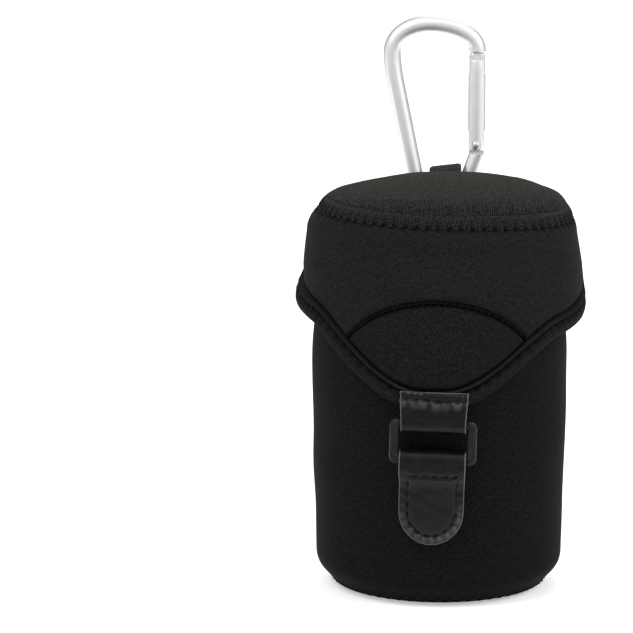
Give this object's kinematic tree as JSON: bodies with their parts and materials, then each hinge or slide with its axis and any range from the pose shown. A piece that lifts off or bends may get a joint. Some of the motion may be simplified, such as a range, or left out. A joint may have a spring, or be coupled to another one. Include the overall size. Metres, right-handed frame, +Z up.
{
  "type": "lens pouch",
  "caption": "Padded cylindrical lens pouch with a domed lid, a wrap-over front flap, a leather and plastic ring closure, and a carabiner in a webbing loop at the back.",
  "frame": {"origin": "centre of the round base, on the surface the pouch stands on", "axes": "+Z up along the pouch, -Y towards the front with the closure, +X to the right seen from the front"},
  "size_m": [0.0872, 0.1017, 0.169],
  "materials": {
    "neoprene": "knit-faced black neoprene, matt",
    "lid_neoprene": "ribbed knit-faced black neoprene, matt",
    "knit_tape": "black knitted tape",
    "thread": "black polyester thread",
    "webbing": "ribbed black webbing",
    "loop_pile": "soft looped pile",
    "hook_pile": "moulded hook pile",
    "leather": "black grained leather with paler cut edges",
    "plastic": "moulded dark grey plastic, satin",
    "aluminium": "bright satin anodised",
    "steel": "plain"
  },
  "bodies": {
    "pouch": {"body_wall": "neoprene", "base_panel": "neoprene", "base_seam": "thread", "mouth_binding": "knit_tape", "back_web": "neoprene", "loop_patch": "loop_pile", "hang_loop": "webbing"},
    "lid": {"top_panel": "lid_neoprene", "lid_seam": "thread", "flap_panel": "neoprene", "arch_seam": "thread", "flap_tip_panel": "neoprene", "flap_binding": "neoprene", "anchor_strap": "leather"},
    "ring": {"ring_buckle": "plastic"},
    "tab": {"pull_tab": "leather", "hook_patch": "hook_pile"},
    "carabiner": {"carabiner_frame": "aluminium", "gate_rivet": "steel"},
    "gate": {"gate": "aluminium", "latch_pin": "steel", "gate_spring": "steel"},
    "plunger": {"gate_plunger": "steel"}
  },
  "joints": [
    {"name": "flap_hinge", "type": "hinge", "parent": "pouch", "child": "lid", "pos_m": [0, 0.04, 0.118], "axis": [-1, 0, 0], "range_deg": [0, 90]},
    {"name": "ring_pivot", "type": "hinge", "parent": "lid", "child": "ring", "pos_m": [0, -0.04174, 0.0579], "axis": [-1, 0, 0], "range_deg": [0, 100]},
    {"name": "tab_pivot", "type": "hinge", "parent": "ring", "child": "tab", "pos_m": [0, -0.04174, 0.0469], "axis": [-1, 0, 0], "range_deg": [0, 90]},
    {"name": "carabiner_swing", "type": "hinge", "parent": "pouch", "child": "carabiner", "pos_m": [-0.00135, 0.0485, 0.1145], "axis": [-1, 0, 0], "range_deg": [-50, 175]},
    {"name": "gate_pivot", "type": "hinge", "parent": "carabiner", "child": "gate", "pos_m": [0.00895, 0.04973, 0.12859], "axis": [0, -0.9962, 0.0872], "range_deg": [0, 32], "stiffness_Nm_per_rad": 0.05, "springref_deg": -17.19},
    {"name": "plunger_slide", "type": "slide", "parent": "gate", "child": "plunger", "axis": [0, 0.0872, 0.9962], "range_m": [0, 0.0009], "deforming": ["gate_spring"]}
  ],
  "couplings": [
    {"joint": "plunger_slide", "follows": "gate_pivot", "m_per_rad": 0.0016}
  ]
}
